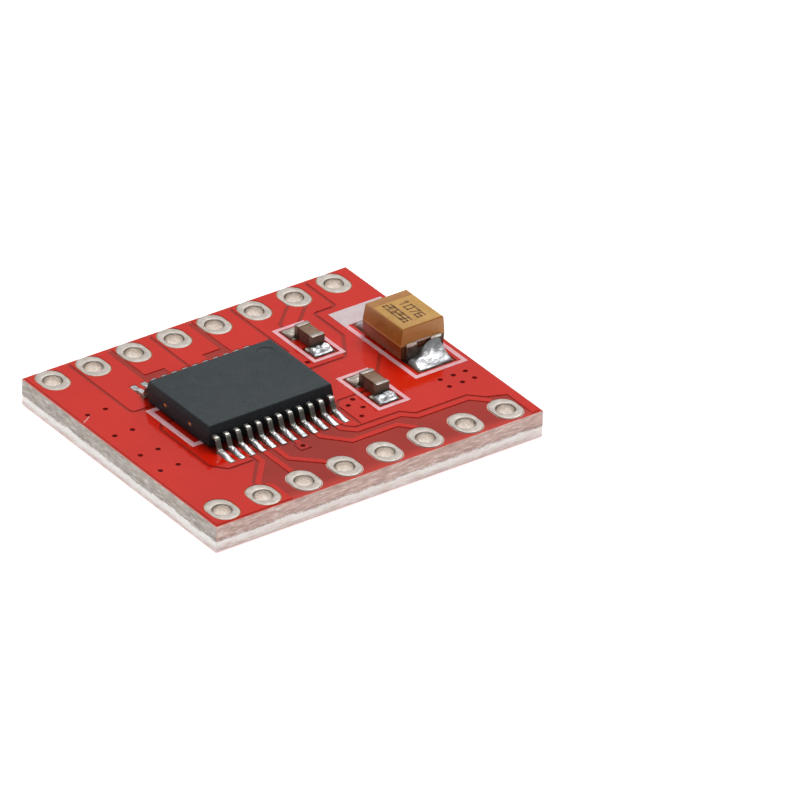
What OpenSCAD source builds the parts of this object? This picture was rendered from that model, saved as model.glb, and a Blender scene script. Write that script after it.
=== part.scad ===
// DC motor driver module: a bare circuit board with plated header holes along
// its two long edges. A driver chip, two ceramic capacitors and a tantalum
// capacitor are soldered to its top. Millimetres, +Z up. X runs along the header
// rows. The origin is the centre of the hole grid, on the plane under the board.

/* [Board] */
// Thickness over the pads on both faces
board_t = 1.6; // [0.8:0.1:2.4]
// Distance from the header pads to the board's left edge
left_margin = 0.42; // [0.3:0.02:1]
// Distance from the header pads to the board's right edge
right_margin = 0.74; // [0.5:0.02:1.5]
// Distance from the header pads to the board's front edge
front_margin = 0.18; // [0.1:0.01:1]
// Distance from the header pads to the board's rear edge
rear_margin = 0.03; // [0.02:0.01:1]

/* [Foil and coatings] */
// Thickness of the copper foil
foil_t = 0.035; // [0.018:0.001:0.07]
// Thickness of the solder mask
mask_t = 0.02; // [0.01:0.005:0.04]
// Height of the legend ink over the mask
ink_t = 0.015; // [0.01:0.005:0.03]
// Distance that the foil keeps from the board's edges
foil_pull = 0.15; // [0.1:0.05:0.3]
// Gap between a pad and the mask around it
mask_gap = 0.05; // [0.03:0.01:0.08]
// Width of the signal tracks
track_w = 0.27; // [0.2:0.01:0.3]
// Width of the narrow gaps between areas of foil
gap_w = 0.23; // [0.15:0.01:0.25]
// Width of the wide gaps between motor outputs
wide_gap_w = 0.4; // [0.3:0.05:0.5]
// Width of the supply track to the rear ceramic capacitor
supply_track_w = 0.68; // [0.4:0.02:0.8]
// Bare laminate beside a capacitor's pads
pad_moat = 0.14; // [0.09:0.01:0.16]
// Shift of the gaps between rear header pads, from midway to the right
rear_gap_shift = 0.28; // [0.1:0.02:0.3]
// Length of the bare laminate behind the ground leads
ground_patch_l = 0.6; // [0.3:0.1:0.8]

/* [Header holes] */
// Distance between neighbouring holes in a row
header_pitch = 2.54; // [2.4:0.02:2.6]
// Distance between the two rows
header_span = 15.24; // [15.1:0.02:15.3]
// Bore of a plated header hole
header_bore = 1.04; // [0.9:0.02:1.2]
// Width of a header pad, along the row
header_pad_w = 1.55; // [1.45:0.05:1.75]
// Length of a header pad, across the row
header_pad_l = 2.05; // [1.8:0.05:2.1]
// Wall of the plating in the holes
plating_t = 0.03; // [0.02:0.005:0.05]
// Bore of a via
via_bore = 0.28; // [0.2:0.02:0.36]
// Width of the foil round the lone via
via_ring_d = 0.62; // [0.5:0.02:0.7]
// Distance of the lone via from the chip pad that it serves
lone_via_gap = 0.65; // [0.5:0.05:0.8]

/* [Driver chip] */
// Centre of the chip, along the rows
chip_x = -2.22; // [-2.4:0.02:-2]
// Centre of the chip, across the rows
chip_y = 0.35; // [0.25:0.05:0.45]
// Length of the moulded body
chip_l = 7.8; // [7.6:0.1:8]
// Width of the moulded body
chip_w = 5.6; // [5.2:0.1:5.7]
// Thickness of the moulded body
chip_t = 1.25; // [0.9:0.05:1.5]
// Gap under the moulded body
chip_standoff = 0.05; // [0.05:0.05:0.2]
// Draft of each half of the body, measured at its flat face
chip_draft = 0.08; // [0.02:0.02:0.2]
// Distance between neighbouring leads
lead_pitch = 0.65; // [0.6:0.01:0.65]
// Reach of a lead's toe from the body's side
lead_reach = 1; // [0.9:0.05:1.1]
// Width of a lead
lead_w = 0.29; // [0.2:0.01:0.32]
// Thickness of a lead
lead_t = 0.15; // [0.1:0.01:0.2]
// Length of a lead held inside the body
lead_tail = 0.7; // [0.4:0.1:0.9]
// Straight length of a lead outside the body, before its first bend
lead_shoulder = 0.2; // [0.15:0.01:0.25]
// Radius of a lead's bends, at mid thickness
lead_bend_r = 0.14; // [0.12:0.01:0.17]
// Lean of a lead's drop from the upright, in degrees
lead_lean = 24; // [8:1:28]
// Bevel along the body's top edges
chip_bevel = 0.04; // [0.02:0.01:0.1]
// Diameter of the mark beside the first lead
dimple_d = 1; // [0.6:0.1:1.2]
// Distance of that mark's centre from the body's two nearest sides
dimple_inset = 1.05; // [0.8:0.05:1.4]
// Depth of that mark
dimple_depth = 0.05; // [0.02:0.01:0.1]
// Length of the paddle under the die
paddle_l = 4.2; // [3.4:0.1:5]
// Width of the paddle under the die
paddle_w = 2.8; // [2.5:0.1:3]
// Distance of each tie bar from the paddle's centre line
tie_bar_y = 1.1; // [0.8:0.05:1.15]
// Width of a tie bar
tie_bar_w = 0.2; // [0.12:0.02:0.3]
// Length of the silicon die
die_l = 3; // [2:0.1:3.2]
// Width of the silicon die
die_w = 2.2; // [1.6:0.1:2.4]
// Thickness of the silicon die
die_t = 0.25; // [0.1:0.05:0.3]

/* [Chip pads] */
// Width of a chip pad
chip_pad_w = 0.34; // [0.3:0.01:0.38]
// Length of a chip pad
chip_pad_l = 1.3; // [1:0.1:1.5]
// Length of a chip pad beyond the lead's toe
toe_pad = 0.72; // [0.6:0.02:0.85]

/* [Ceramic capacitors] */
// Centre of the front capacitor's pads, across the rows
front_ceramic_y = -2.21; // [-2.3:0.01:-2.1]
// Centre of the rear capacitor's pads, across the rows
rear_ceramic_y = 3.53; // [3.45:0.01:3.6]
// Centre of both capacitors, along the rows
ceramic_x = 4.34; // [4.28:0.01:4.4]
// How far each capacitor sits off its pads' centre, towards the front
ceramic_slip = 0.13; // [0:0.01:0.2]
// Length of a ceramic capacitor
ceramic_l = 1.6; // [1.4:0.1:1.8]
// Width of a ceramic capacitor
ceramic_w = 0.8; // [0.6:0.05:1]
// Height of a ceramic capacitor
ceramic_t = 0.8; // [0.5:0.05:0.95]
// Length of the metal cap on each end
ceramic_cap_l = 0.3; // [0.2:0.05:0.4]
// Thickness of the metal cap
ceramic_cap_t = 0.03; // [0.02:0.01:0.05]
// Width of a ceramic capacitor's pad
ceramic_pad_w = 1.24; // [1.1:0.02:1.34]
// Length of a ceramic capacitor's pad
ceramic_pad_l = 1.07; // [0.9:0.01:1.15]
// Distance between the centres of its two pads
ceramic_pad_pitch = 2.05; // [2:0.05:2.2]

/* [Tantalum capacitor] */
// Centre of the body, along the rows
tantalum_x = 8.46; // [8.4:0.02:8.5]
// Centre of the body, across the rows
tantalum_y = 0.8; // [0.7:0.05:0.9]
// How far the body sits off its pads' centre, along the rows
tantalum_slip_x = 0.03; // [0:0.01:0.1]
// How far the body sits off its pads' centre, across the rows
tantalum_slip_y = 0.1; // [0:0.01:0.15]
// Length of the moulded body
tantalum_l = 3.4; // [3.2:0.05:3.5]
// Width of the moulded body
tantalum_w = 2.8; // [2.5:0.05:2.9]
// Height of the whole capacitor
tantalum_t = 1.9; // [1.6:0.1:2.2]
// Height of the parting line, where the terminals come out
tantalum_parting = 1; // [0.8:0.05:1.1]
// Draft of each half of the body, measured at its flat face
tantalum_draft = 0.05; // [0.02:0.01:0.12]
// Bevel along the body's top edges
tantalum_bevel = 0.06; // [0.04:0.01:0.15]
// Width of a terminal
terminal_w = 2.2; // [1.8:0.05:2.3]
// Thickness of a terminal
terminal_t = 0.12; // [0.08:0.01:0.15]
// Length of a terminal held inside the body
terminal_tail = 0.45; // [0.3:0.05:0.6]
// Length of a terminal folded under the body
terminal_foot = 0.8; // [0.6:0.05:1]
// Width of the notch in a terminal's upright face
terminal_notch_w = 0.9; // [0.6:0.05:1.2]
// Height of that notch
terminal_notch_h = 0.3; // [0.15:0.05:0.4]
// Length of the sintered slug inside
slug_l = 1.9; // [1.5:0.1:2.1]
// Width of the slug
slug_w = 1.8; // [1.4:0.1:2]
// Height of the slug
slug_t = 1; // [0.8:0.05:1.1]
// Diameter of the wire from the slug to the positive terminal
slug_wire_d = 0.24; // [0.16:0.02:0.3]
// Width of a tantalum capacitor's pad
tantalum_pad_w = 2.22; // [2.2:0.01:2.4]
// Length of a tantalum capacitor's pad
tantalum_pad_l = 1.9; // [1.7:0.05:2]
// Distance between the centres of its two pads
tantalum_pad_pitch = 3.9; // [3.8:0.05:4]

/* [Solder] */
// Height of the solder on a lead's toe, over the board
toe_solder_h = 0.13; // [0.05:0.01:0.15]
// Height of the solder on a ceramic capacitor's end
ceramic_solder_h = 0.24; // [0.1:0.02:0.4]
// Height of the solder on a tantalum capacitor's terminal
terminal_solder_h = 0.62; // [0.3:0.02:0.65]

/* [Legend] */
// Shift of the whole legend from the pads, across the rows
legend_shift = -0.07; // [-0.08:0.01:0.06]
// Line width of the bracket at each end of the chip
bracket_line = 0.3; // [0.2:0.02:0.36]
// Length of the bracket
bracket_h = 4.25; // [3.8:0.05:4.4]
// Depth of the bracket
bracket_l = 0.75; // [0.6:0.05:0.9]
// Gap between the bracket and the chip's body
bracket_gap = 0.25; // [0.22:0.01:0.34]
// Shift of the brackets from the chip's centre, across the rows
bracket_shift = 0.02; // [-0.1:0.02:0.1]
// Line width of the frame round a ceramic capacitor
ceramic_line = 0.22; // [0.15:0.01:0.25]
// Width over a ceramic capacitor's frame
ceramic_frame_w = 2.02; // [1.96:0.02:2.1]
// Length over a ceramic capacitor's frame
ceramic_frame_l = 3.83; // [3.8:0.01:3.95]
// Line width of the frame round the tantalum capacitor
tantalum_line = 0.25; // [0.2:0.01:0.3]
// Width over the tantalum capacitor's frame
tantalum_frame_w = 3.34; // [3.2:0.02:3.4]
// Gap between the tantalum's pads and its frame, front and rear
tantalum_frame_gap = 0.15; // [0.13:0.01:0.2]
// Length of the filled bar that marks the positive end
polarity_bar = 1.2; // [0.8:0.05:1.3]

/* [Hidden] */
$fn = 48;
// Holes in each header row, and leads on each side of the chip
columns = 8;
leads = 12;
// Margin by which a cutter passes the face that it cuts
over = 0.1;
pad_t = foil_t + mask_t;
laminate_t = board_t - 2 * pad_t;
core_top = pad_t + laminate_t;
foil_top_z = core_top + foil_t;
hole_r = header_bore / 2 + plating_t;
via_r = via_bore / 2 + plating_t;
lead_span = chip_w + 2 * lead_reach;
chip_pad_span = lead_span + 2 * toe_pad;

function two_digits(i) = i < 10 ? str("0", i) : str(i);
function header_x(i) = (i - (columns + 1) / 2) * header_pitch;
function header_name(i) = str("plated_hole_", two_digits(i));
// Holes 1 to 8 are the front row, and 9 to 16 the rear row, both from the left
function header_place(i) = i <= columns
    ? [header_x(i), front_row]
    : [header_x(i - columns), rear_row];
front_row = -header_span / 2;
rear_row = header_span / 2;
board_left = header_x(1) - header_pad_w / 2 - left_margin;
board_right = header_x(columns) + header_pad_w / 2 + right_margin;
board_front = front_row - header_pad_l / 2 - front_margin;
board_rear = rear_row + header_pad_l / 2 + rear_margin;
function lead_name(i) = str("chip_lead_", two_digits(i));
function lead_x(i) = chip_x + (i - (leads + 1) / 2) * lead_pitch;

// Helpers for polylines
function unit(v) = v / norm(v);
function left_of(v) = [-v.y, v.x];
function turned(v, angle) = [
    v.x * cos(angle) - v.y * sin(angle),
    v.x * sin(angle) + v.y * cos(angle)
];
// The points of an arc of radius r that rounds the corner b between a and c
function corner_arc(a, b, c, r, steps = 6) =
    let (
        u = unit(a - b),
        v = unit(c - b),
        half = acos(u * v) / 2,
        centre = b + unit(u + v) * r / sin(half),
        from = b + u * r / tan(half) - centre,
        to = b + v * r / tan(half) - centre,
        turn = (cross(from, to) > 0 ? 1 : -1) * (180 - 2 * half)
    )
    [for (k = [0:steps]) centre + turned(from, turn * k / steps)];
function rounded(points, r) =
    let (last = len(points) - 1)
    concat(
        [points[0]],
        [for (i = [1:1:last - 1])
            for (p = corner_arc(points[i - 1], points[i], points[i + 1], r)) p],
        [points[last]]
    );
// The mitred side vector of a polyline at its point i
function side_at(points, i) =
    let (
        last = len(points) - 1,
        b = unit(points[min(i + 1, last)] - points[min(i, last - 1)]),
        a = unit(points[max(i, 1)] - points[max(i - 1, 0)])
    )
    (left_of(a) + left_of(b)) / (1 + a * b);
// A band of width w along a polyline
module band(points, w) {
    last = len(points) - 1;
    polygon(concat(
        [for (i = [0:last]) points[i] + w / 2 * side_at(points, i)],
        [for (i = [last:-1:0]) points[i] - w / 2 * side_at(points, i)]
    ));
}
module box_plan(centre, w, l, grow = 0) {
    translate(centre) square([w + 2 * grow, l + 2 * grow], center = true);
}
module slot_plan(w, l) {
    straight = l - w;
    square([w, straight], center = true);
    for (end = [-1, 1]) translate([0, end * straight / 2]) circle(d = w);
}

// Where the pads and vias lie
chip_pad_y = (chip_pad_span - chip_pad_l) / 2;
pads_front = chip_y - chip_pad_span / 2;
pads_rear = chip_y + chip_pad_span / 2;
chip_left = chip_x - chip_l / 2;
chip_right = chip_x + chip_l / 2;
chip_front = chip_y - chip_w / 2;
chip_rear = chip_y + chip_w / 2;
ceramic_centres = [[ceramic_x, front_ceramic_y], [ceramic_x, rear_ceramic_y]];
tantalum_pad_x = tantalum_x - tantalum_slip_x;
tantalum_pad_y = tantalum_y - tantalum_slip_y;
tantalum_pads_front = tantalum_pad_y - (tantalum_pad_pitch + tantalum_pad_l) / 2;
via_columns = [header_x(1) - 0.46, header_x(1) + 0.64];
via_rows = [for (y = [-3.15, -1.35, 0.95, 3.4]) chip_y + y];
chip_side_vias = [for (p = [[0.62, 0.05], [0.65, 1.28], [1.19, 0.73], [1.19, 1.65], [1.4, 5.97]])
    [chip_right, pads_front] + p];
right_vias = [for (x = [-0.66, 0.17, 0.94], y = [-2.05, -1.23])
    [tantalum_pad_x, tantalum_pads_front] + [x, y]];
lone_via = [lead_x(7), pads_front - lone_via_gap];
via_places = concat(
    [for (x = via_columns, y = via_rows) [x, y]],
    chip_side_vias, right_vias, [lone_via]
);

module board_plan(inset = 0) {
    translate([board_left + inset, board_front + inset])
        square([board_right - board_left - 2 * inset, board_rear - board_front - 2 * inset]);
}
module at_each_header() {
    for (i = [1:2 * columns]) translate(header_place(i)) children();
}
module at_each_via() {
    for (p = via_places) translate(p) children();
}
module chip_pads_plan(grow = 0) {
    for (i = [1:leads], side = [-1, 1])
        box_plan([lead_x(i), chip_y + side * chip_pad_y], chip_pad_w, chip_pad_l, grow);
}
module ceramic_pads_plan(grow = 0) {
    for (c = ceramic_centres, side = [-1, 1])
        box_plan(c + [0, side * ceramic_pad_pitch / 2], ceramic_pad_w, ceramic_pad_l, grow);
}
module tantalum_pads_plan(grow = 0) {
    for (side = [-1, 1])
        box_plan([tantalum_pad_x, tantalum_pad_y + side * tantalum_pad_pitch / 2],
            tantalum_pad_w, tantalum_pad_l, grow);
}
module parts_pads_plan(grow = 0) {
    chip_pads_plan(grow);
    ceramic_pads_plan(grow);
    tantalum_pads_plan(grow);
}

// The top foil's tracks, each from a chip pad to a header pad or a via. They run in
// three lanes between the chip's pads and the front header row.
lane_near = front_row + 1.12;
lane_mid = front_row + 1.87;
lane_far = front_row + 2.52;
left_track = [
    [lead_x(3), pads_front], [lead_x(3), pads_front - 0.75], [header_x(2) + 0.5, lane_near],
    header_place(2)];
right_track = [
    [lead_x(11), pads_front], [lead_x(11), pads_front - 0.35], [lead_x(11) + 0.6, lane_far],
    [header_x(6) + 0.24, lane_far], [header_x(6) + 0.89, lane_mid + 0.05],
    [header_x(8) - 0.99, lane_mid + 0.05], [header_x(8) - 0.19, lane_near],
    header_place(8)];
top_tracks = [
    left_track,
    [[lead_x(4), pads_front], [lead_x(4), pads_front - 0.8], header_place(3)],
    [[lead_x(5), pads_front], [lead_x(5), pads_front - 1.25],
     [header_x(4) - 0.68, lane_near - 0.1], header_place(4)],
    [[lead_x(7), pads_front], lone_via],
    [[lead_x(9), pads_front], [lead_x(9), pads_front - 0.4], [lead_x(9) + 1.1, lane_mid - 0.05],
     [header_x(6) - 0.46, lane_mid - 0.05], [header_x(6) + 0.14, lane_near],
     header_place(6)],
    right_track
];
// The track from a rear header pad to the rear ceramic capacitor
supply_track = [header_place(15), [header_x(7) - 0.45, rear_row - 0.86],
    [ceramic_x + 0.16, rear_ceramic_y + 1.92],
    [ceramic_x, rear_ceramic_y + ceramic_pad_pitch / 2]];
// The bare laminate between the outer two of the signal tracks
front_field = concat(
    [[lead_x(3), chip_front + 0.2]],
    [for (i = [0:2]) left_track[i]],
    [[header_x(2) + 1.05, front_row + 0.52], [header_x(2) + 1.05, board_front - over],
     [header_x(8) + 0.95, board_front - over], [header_x(8) + 0.95, lane_near]],
    [for (i = [5:-1:0]) right_track[i]],
    [[lead_x(11), chip_front + 0.2]]
);
// The gaps that part the areas of the top foil
function between(i) = header_x(i) + header_pitch / 2 + rear_gap_shift;
supply_gap = rounded([
    [chip_left + 1, chip_y + 0.55], [chip_left - 0.6, chip_y + 0.55],
    [chip_left - 0.92, chip_y + 0.15],
    [chip_left - 0.92, pads_front + 0.35], [chip_left - 0.25, pads_front - 0.45],
    [lead_x(3), pads_front - 0.45]], 0.3);
first_output_gap = rounded([
    [between(1), board_rear + over], [between(1), chip_rear - 0.5],
    [chip_left + 1, chip_rear - 0.5]], 0.35);
driver_supply_gap = rounded([
    [header_x(7) + header_pitch / 2, board_rear + over],
    [header_x(7) + header_pitch / 2, rear_row - 1.97], [ceramic_x + 1.85, rear_row - 1.97],
    [ceramic_x + 1.85, rear_ceramic_y - 0.53], [ceramic_x + 0.7, chip_y + 0.8],
    [chip_right - 1, chip_y + 0.8]], 0.25);
ground_gap = rounded([
    [board_right + over, tantalum_pad_y], [tantalum_pad_x - 1.48, tantalum_pad_y],
    [ceramic_x + 1.2, front_ceramic_y + 1.25], [ceramic_x + 0.9, front_ceramic_y],
    [chip_right + 0.5, front_ceramic_y], [lead_x(leads) + 0.45, front_ceramic_y - 0.4],
    [lead_x(leads) + 0.45, pads_front - 0.5]], 0.2);
top_gaps = [
    supply_gap, first_output_gap, driver_supply_gap, ground_gap,
    [[between(3), board_rear + over], [between(3), chip_rear]],
    [[between(5), board_rear + over], [between(5), chip_rear]]
];
wide_gaps = [for (i = [2, 4]) [[between(i), board_rear + over], [between(i), pads_rear]]];
// Bare laminate behind the two pairs of ground leads, each named by its middle
ground_leads = [3.5, 9.5];
ground_patch_w = 2.4 * lead_pitch;

module bare_plan(grow = 0) {
    for (g = top_gaps) band(g, gap_w - 2 * grow);
    for (g = wide_gaps) band(g, wide_gap_w - 2 * grow);
    for (t = top_tracks) band(t, track_w + 2 * (gap_w - grow));
    band(supply_track, supply_track_w + 2 * (gap_w - grow));
    offset(delta = -grow) polygon(front_field);
    for (middle = ground_leads)
        box_plan([lead_x(middle), pads_rear + ground_patch_l / 2],
            ground_patch_w, ground_patch_l, -grow);
    for (c = ceramic_centres, side = [-1, 1])
        moat_plan(c + [0, side * ceramic_pad_pitch / 2], ceramic_pad_w, ceramic_pad_l,
            side, grow);
    for (side = [-1, 1])
        moat_plan([tantalum_pad_x, tantalum_pad_y + side * tantalum_pad_pitch / 2],
            tantalum_pad_w, tantalum_pad_l, side, grow);
}
// Bare laminate round a pad on three sides: its inner side meets the foil
module moat_plan(centre, w, l, outward, grow) {
    translate(centre + [0, outward * pad_moat / 2])
        square([w + 2 * (pad_moat - grow), l + pad_moat - 2 * grow], center = true);
}
module top_foil_plan(grow = 0) {
    difference() {
        board_plan(foil_pull - grow);
        bare_plan(grow);
    }
    for (t = top_tracks) band(t, track_w + 2 * grow);
    band(supply_track, supply_track_w + 2 * grow);
    box_plan(lone_via, via_ring_d, via_ring_d, grow);
    parts_pads_plan(grow);
}
// The foil under the board: a ground area, and an island round each other pad
bottom_tracks = [[lone_via, [header_x(5) - 0.87, lane_mid - 0.05], header_place(5)]];
ground_holes = [1, 9, 14];
function is_ground(i) = len([for (g = ground_holes) if (g == i) g]) > 0;
module bottom_foil_plan(grow = 0) {
    difference() {
        board_plan(foil_pull - grow);
        for (i = [1:2 * columns])
            if (!is_ground(i))
                translate(header_place(i))
                    slot_plan(header_pad_w + 2 * (gap_w - grow), header_pad_l + 2 * (gap_w - grow));
        for (t = bottom_tracks) band(t, track_w + 2 * (gap_w - grow));
        translate(lone_via) circle(d = via_ring_d + 2 * (gap_w - grow));
    }
    for (t = bottom_tracks) band(t, track_w + 2 * grow);
    translate(lone_via) circle(d = via_ring_d + 2 * grow);
}

module substrate() {
    color("khaki") difference() {
        translate([0, 0, pad_t]) linear_extrude(laminate_t) board_plan();
        at_each_header() translate([0, 0, pad_t - over])
            cylinder(r = hole_r, h = laminate_t + 2 * over);
        at_each_via() translate([0, 0, pad_t - over])
            cylinder(r = via_r, h = laminate_t + 2 * over);
    }
}
// A sheet of foil on one face, without the header pads and the vias, which fill
// their own places in it
module foil_sheet(z) {
    color("darkgoldenrod") translate([0, 0, z]) difference() {
        linear_extrude(foil_t) children();
        at_each_header() translate([0, 0, -over])
            linear_extrude(foil_t + 2 * over) slot_plan(header_pad_w, header_pad_l);
        at_each_via() translate([0, 0, -over]) cylinder(r = via_r, h = foil_t + 2 * over);
    }
}
module foil_top() {
    foil_sheet(core_top) top_foil_plan();
}
module foil_bottom() {
    foil_sheet(mask_t) bottom_foil_plan();
}
// What the mask leaves open: the holes and pads that take pins, and the vias
module header_openings() {
    at_each_header() slot_plan(header_pad_w + 2 * mask_gap, header_pad_l + 2 * mask_gap);
    at_each_via() circle(d = via_bore);
}
module solder_mask_top() {
    color("crimson") difference() {
        translate([0, 0, core_top]) {
            linear_extrude(mask_t) board_plan();
            linear_extrude(pad_t) top_foil_plan(mask_t);
        }
        translate([0, 0, core_top - over]) linear_extrude(foil_t + over) top_foil_plan();
        translate([0, 0, core_top - over]) linear_extrude(pad_t + 2 * over) {
            header_openings();
            parts_pads_plan(mask_gap);
        }
    }
}
module solder_mask_bottom() {
    color("crimson") difference() {
        union() {
            translate([0, 0, foil_t]) linear_extrude(mask_t) board_plan();
            linear_extrude(pad_t) bottom_foil_plan(mask_t);
        }
        translate([0, 0, mask_t]) linear_extrude(foil_t + over) bottom_foil_plan();
        translate([0, 0, -over]) linear_extrude(pad_t + 2 * over) header_openings();
    }
}
module frame_plan(w, l, line) {
    difference() {
        square([w, l], center = true);
        square([w - 2 * line, l - 2 * line], center = true);
    }
}
frame_half = (tantalum_pad_pitch + tantalum_pad_l) / 2 + tantalum_frame_gap;
bracket_x = chip_l / 2 + bracket_gap;
module legend_plan() {
    translate([0, legend_shift]) legend_marks();
}
module legend_marks() {
    translate([chip_x, chip_y + bracket_shift]) for (angle = [0, 180]) rotate(angle)
        difference() {
            translate([bracket_x + bracket_line - bracket_l, -bracket_h / 2])
                square([bracket_l, bracket_h]);
            translate([bracket_x - bracket_l, -bracket_h / 2 + bracket_line])
                square([bracket_l, bracket_h - 2 * bracket_line]);
        }
    for (c = ceramic_centres)
        translate(c) frame_plan(ceramic_frame_w, ceramic_frame_l, ceramic_line);
    translate([tantalum_pad_x, tantalum_pad_y])
        difference() {
            translate([-tantalum_frame_w / 2, -frame_half - tantalum_line])
                square([tantalum_frame_w, 2 * (frame_half + tantalum_line) + polarity_bar]);
            translate([-tantalum_frame_w / 2 + tantalum_line, -frame_half])
                square([tantalum_frame_w - 2 * tantalum_line, 2 * frame_half]);
        }
}
// The ink fills the steps of the mask under it, and its top is level
module legend_ink() {
    color("white") difference() {
        translate([0, 0, core_top + mask_t]) linear_extrude(foil_t + ink_t) legend_plan();
        translate([0, 0, core_top]) linear_extrude(pad_t) top_foil_plan(mask_t);
    }
}
module via_barrels() {
    color("darkgoldenrod") at_each_via() difference() {
        translate([0, 0, mask_t]) cylinder(r = via_r, h = laminate_t + 2 * foil_t);
        translate([0, 0, mask_t - over])
            cylinder(d = via_bore, h = laminate_t + 2 * (foil_t + over));
    }
}
module plated_hole(i) {
    color("silver") translate(header_place(i)) difference() {
        union() {
            cylinder(r = hole_r, h = board_t);
            for (z = [0, core_top]) translate([0, 0, z])
                linear_extrude(pad_t) slot_plan(header_pad_w, header_pad_l);
        }
        translate([0, 0, -over]) cylinder(d = header_bore, h = board_t + 2 * over);
    }
}

// The chip. Its leads leave the body at its waist.
chip_base = board_t + chip_standoff;
waist_z = chip_base + chip_t / 2;
// One side of a moulded block's outline, from its foot to its top: a flat band at the
// waist, drafted below and above it, and a bevel at the top
function moulded_side(w, t, waist, band_t, draft, bevel) = [
    [w / 2 - draft, 0], [w / 2, waist - band_t / 2], [w / 2, waist + band_t / 2],
    [w / 2 - draft, t - bevel], [w / 2 - draft - bevel, t]
];
module moulded_outline(w, t, waist, band_t, draft, bevel) {
    side = moulded_side(w, t, waist, band_t, draft, bevel);
    polygon(concat(side, [for (i = [len(side) - 1:-1:0]) [-side[i].x, side[i].y]]));
}
module moulded_block(l, w, t, waist, band_t, draft, bevel) {
    intersection() {
        rotate([90, 0, 0]) linear_extrude(w, center = true)
            moulded_outline(l, t, waist, band_t, draft, bevel);
        rotate([90, 0, 90]) linear_extrude(l, center = true)
            moulded_outline(w, t, waist, band_t, draft, bevel);
    }
}
// The route of a lead's middle, from inside the body to the toe
drop = waist_z - board_t - lead_t / 2;
bend_x = chip_w / 2 + lead_shoulder + lead_bend_r * tan((90 - lead_lean) / 2);
lead_route = rounded([
    [chip_w / 2 - lead_tail, waist_z], [bend_x, waist_z],
    [bend_x + drop * tan(lead_lean), board_t + lead_t / 2],
    [lead_span / 2, board_t + lead_t / 2]], lead_bend_r);
// Leads 1 to 12 are the front row, and 13 to 24 the rear row, both from the left
module chip_lead(i) {
    rear = i > leads;
    color("silver")
        translate([lead_x(rear ? i - leads : i), chip_y, 0]) rotate(rear ? 0 : 180)
            rotate([90, 0, 90]) linear_extrude(lead_w, center = true)
                band(lead_route, lead_t);
}
module lead_tails() {
    for (i = [1:leads], side = [-1, 1])
        translate([lead_x(i), chip_y + side * (chip_w / 2 + over / 2 - lead_tail / 2), waist_z])
            cube([lead_w, lead_tail + over, lead_t], center = true);
}
// The paddle that holds the die, with its tie bars cut flush at the body's ends
module paddle_solid() {
    translate([chip_x, chip_y, waist_z]) {
        cube([paddle_l, paddle_w, lead_t], center = true);
        for (side = [-1, 1]) translate([0, side * tie_bar_y, 0])
            cube([chip_l, tie_bar_w, lead_t], center = true);
    }
}
module die_solid() {
    translate([chip_x, chip_y, waist_z + (lead_t + die_t) / 2])
        cube([die_l, die_w, die_t], center = true);
}
module chip_paddle() {
    color("silver") paddle_solid();
}
module chip_die() {
    color("gray") die_solid();
}
module chip_body() {
    color("dimgray") difference() {
        translate([chip_x, chip_y, chip_base])
            moulded_block(chip_l, chip_w, chip_t, chip_t / 2, lead_t, chip_draft, chip_bevel);
        lead_tails();
        paddle_solid();
        die_solid();
        translate([chip_right - dimple_inset, chip_rear - dimple_inset,
            chip_base + chip_t - dimple_depth]) cylinder(d = dimple_d, h = dimple_depth + over);
    }
}

// A ceramic capacitor: a block, and a five-sided metal cap on each end
function ceramic_place(c) = [c.x, c.y - ceramic_slip, board_t];
module ceramic_block(grow) {
    translate([0, 0, ceramic_t / 2])
        cube([ceramic_w - 2 * grow, ceramic_l - 2 * grow, ceramic_t - 2 * grow], center = true);
}
module ceramic_body(c) {
    color("rosybrown") translate(ceramic_place(c)) ceramic_block(ceramic_cap_t);
}
module ceramic_caps(c) {
    color("silver") translate(ceramic_place(c)) difference() {
        ceramic_block(0);
        ceramic_block(ceramic_cap_t);
        translate([0, 0, ceramic_t / 2])
            cube([ceramic_w + over, ceramic_l - 2 * ceramic_cap_l, ceramic_t + over],
                center = true);
    }
}

// The tantalum capacitor. Its positive end is the rear one.
tail_end = tantalum_l / 2 - terminal_tail;
tail_z = board_t + tantalum_parting - terminal_t;
slug_shift = tail_end - slug_l / 2;
module at_tantalum() {
    translate([tantalum_x, tantalum_y, 0]) children();
}
// A terminal seen from its side: the tail in the body, the upright, and the foot
module terminal_outline() {
    translate([tail_end, tail_z]) square([terminal_tail + terminal_t, terminal_t]);
    translate([tantalum_l / 2, board_t]) square([terminal_t, tantalum_parting]);
    translate([tantalum_l / 2 + terminal_t - terminal_foot, board_t])
        square([terminal_foot, terminal_t]);
}
// The upright is forked: its notch stops at the tail
module terminal(angle) {
    color("silver") at_tantalum() rotate(angle) difference() {
        rotate([90, 0, 90]) linear_extrude(terminal_w, center = true) terminal_outline();
        translate([-terminal_notch_w / 2, tantalum_l / 2, tail_z - terminal_notch_h])
            cube([terminal_notch_w, terminal_t + over, terminal_notch_h + terminal_t + over]);
    }
}
module positive_terminal() {
    terminal(0);
}
module negative_terminal() {
    terminal(180);
}
module terminal_tails() {
    for (angle = [0, 180]) rotate(angle) translate([-terminal_w / 2, tail_end, tail_z])
        cube([terminal_w, terminal_tail + over, terminal_t]);
}
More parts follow.
